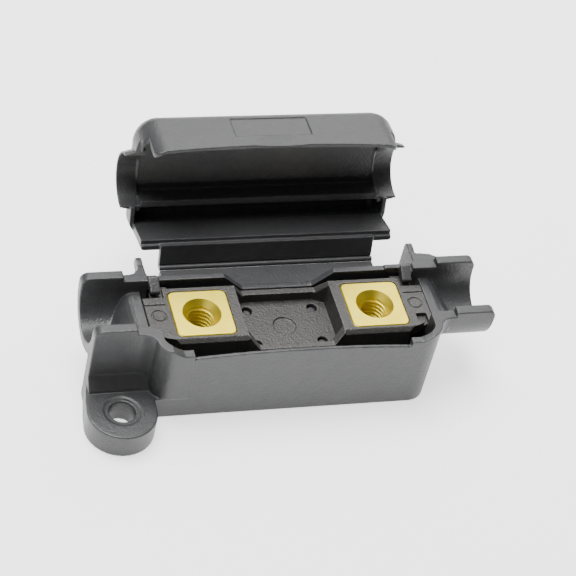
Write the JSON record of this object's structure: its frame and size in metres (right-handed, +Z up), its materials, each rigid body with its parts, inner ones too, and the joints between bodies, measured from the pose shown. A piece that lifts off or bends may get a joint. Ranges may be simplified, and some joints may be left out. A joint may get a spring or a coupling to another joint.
{
  "type": "bolt-down strip fuse holder",
  "caption": "Moulded in-line holder for a bolt-down strip fuse: threaded brass terminals on a carrier, open cable channels, screw ear and hinged cover.",
  "frame": {"origin": "on the flat base, midway between the two terminal centres", "axes": "+X along the cables, away from the screw ear; +Y towards the hinge; +Z up out of the terminals"},
  "size_m": [0.0696, 0.0487, 0.0309],
  "materials": {
    "housing_plastic": "fine satin mould texture, black-grey",
    "carrier_plastic": "fine-grained glass-filled moulding, black-grey",
    "brass": "machined, pale yellow"
  },
  "bodies": {
    "base": {"housing": "housing_plastic", "terminal_carrier": "carrier_plastic", "left_insert": "brass", "right_insert": "brass", "hinge_film": "housing_plastic"},
    "cover": {"cover": "housing_plastic"}
  },
  "joints": [
    {"name": "cover_hinge", "type": "hinge", "parent": "base", "child": "cover", "pos_m": [0, 0.0136, 0.0103], "axis": [1, 0, 0], "range_deg": [-50, 105]}
  ]
}
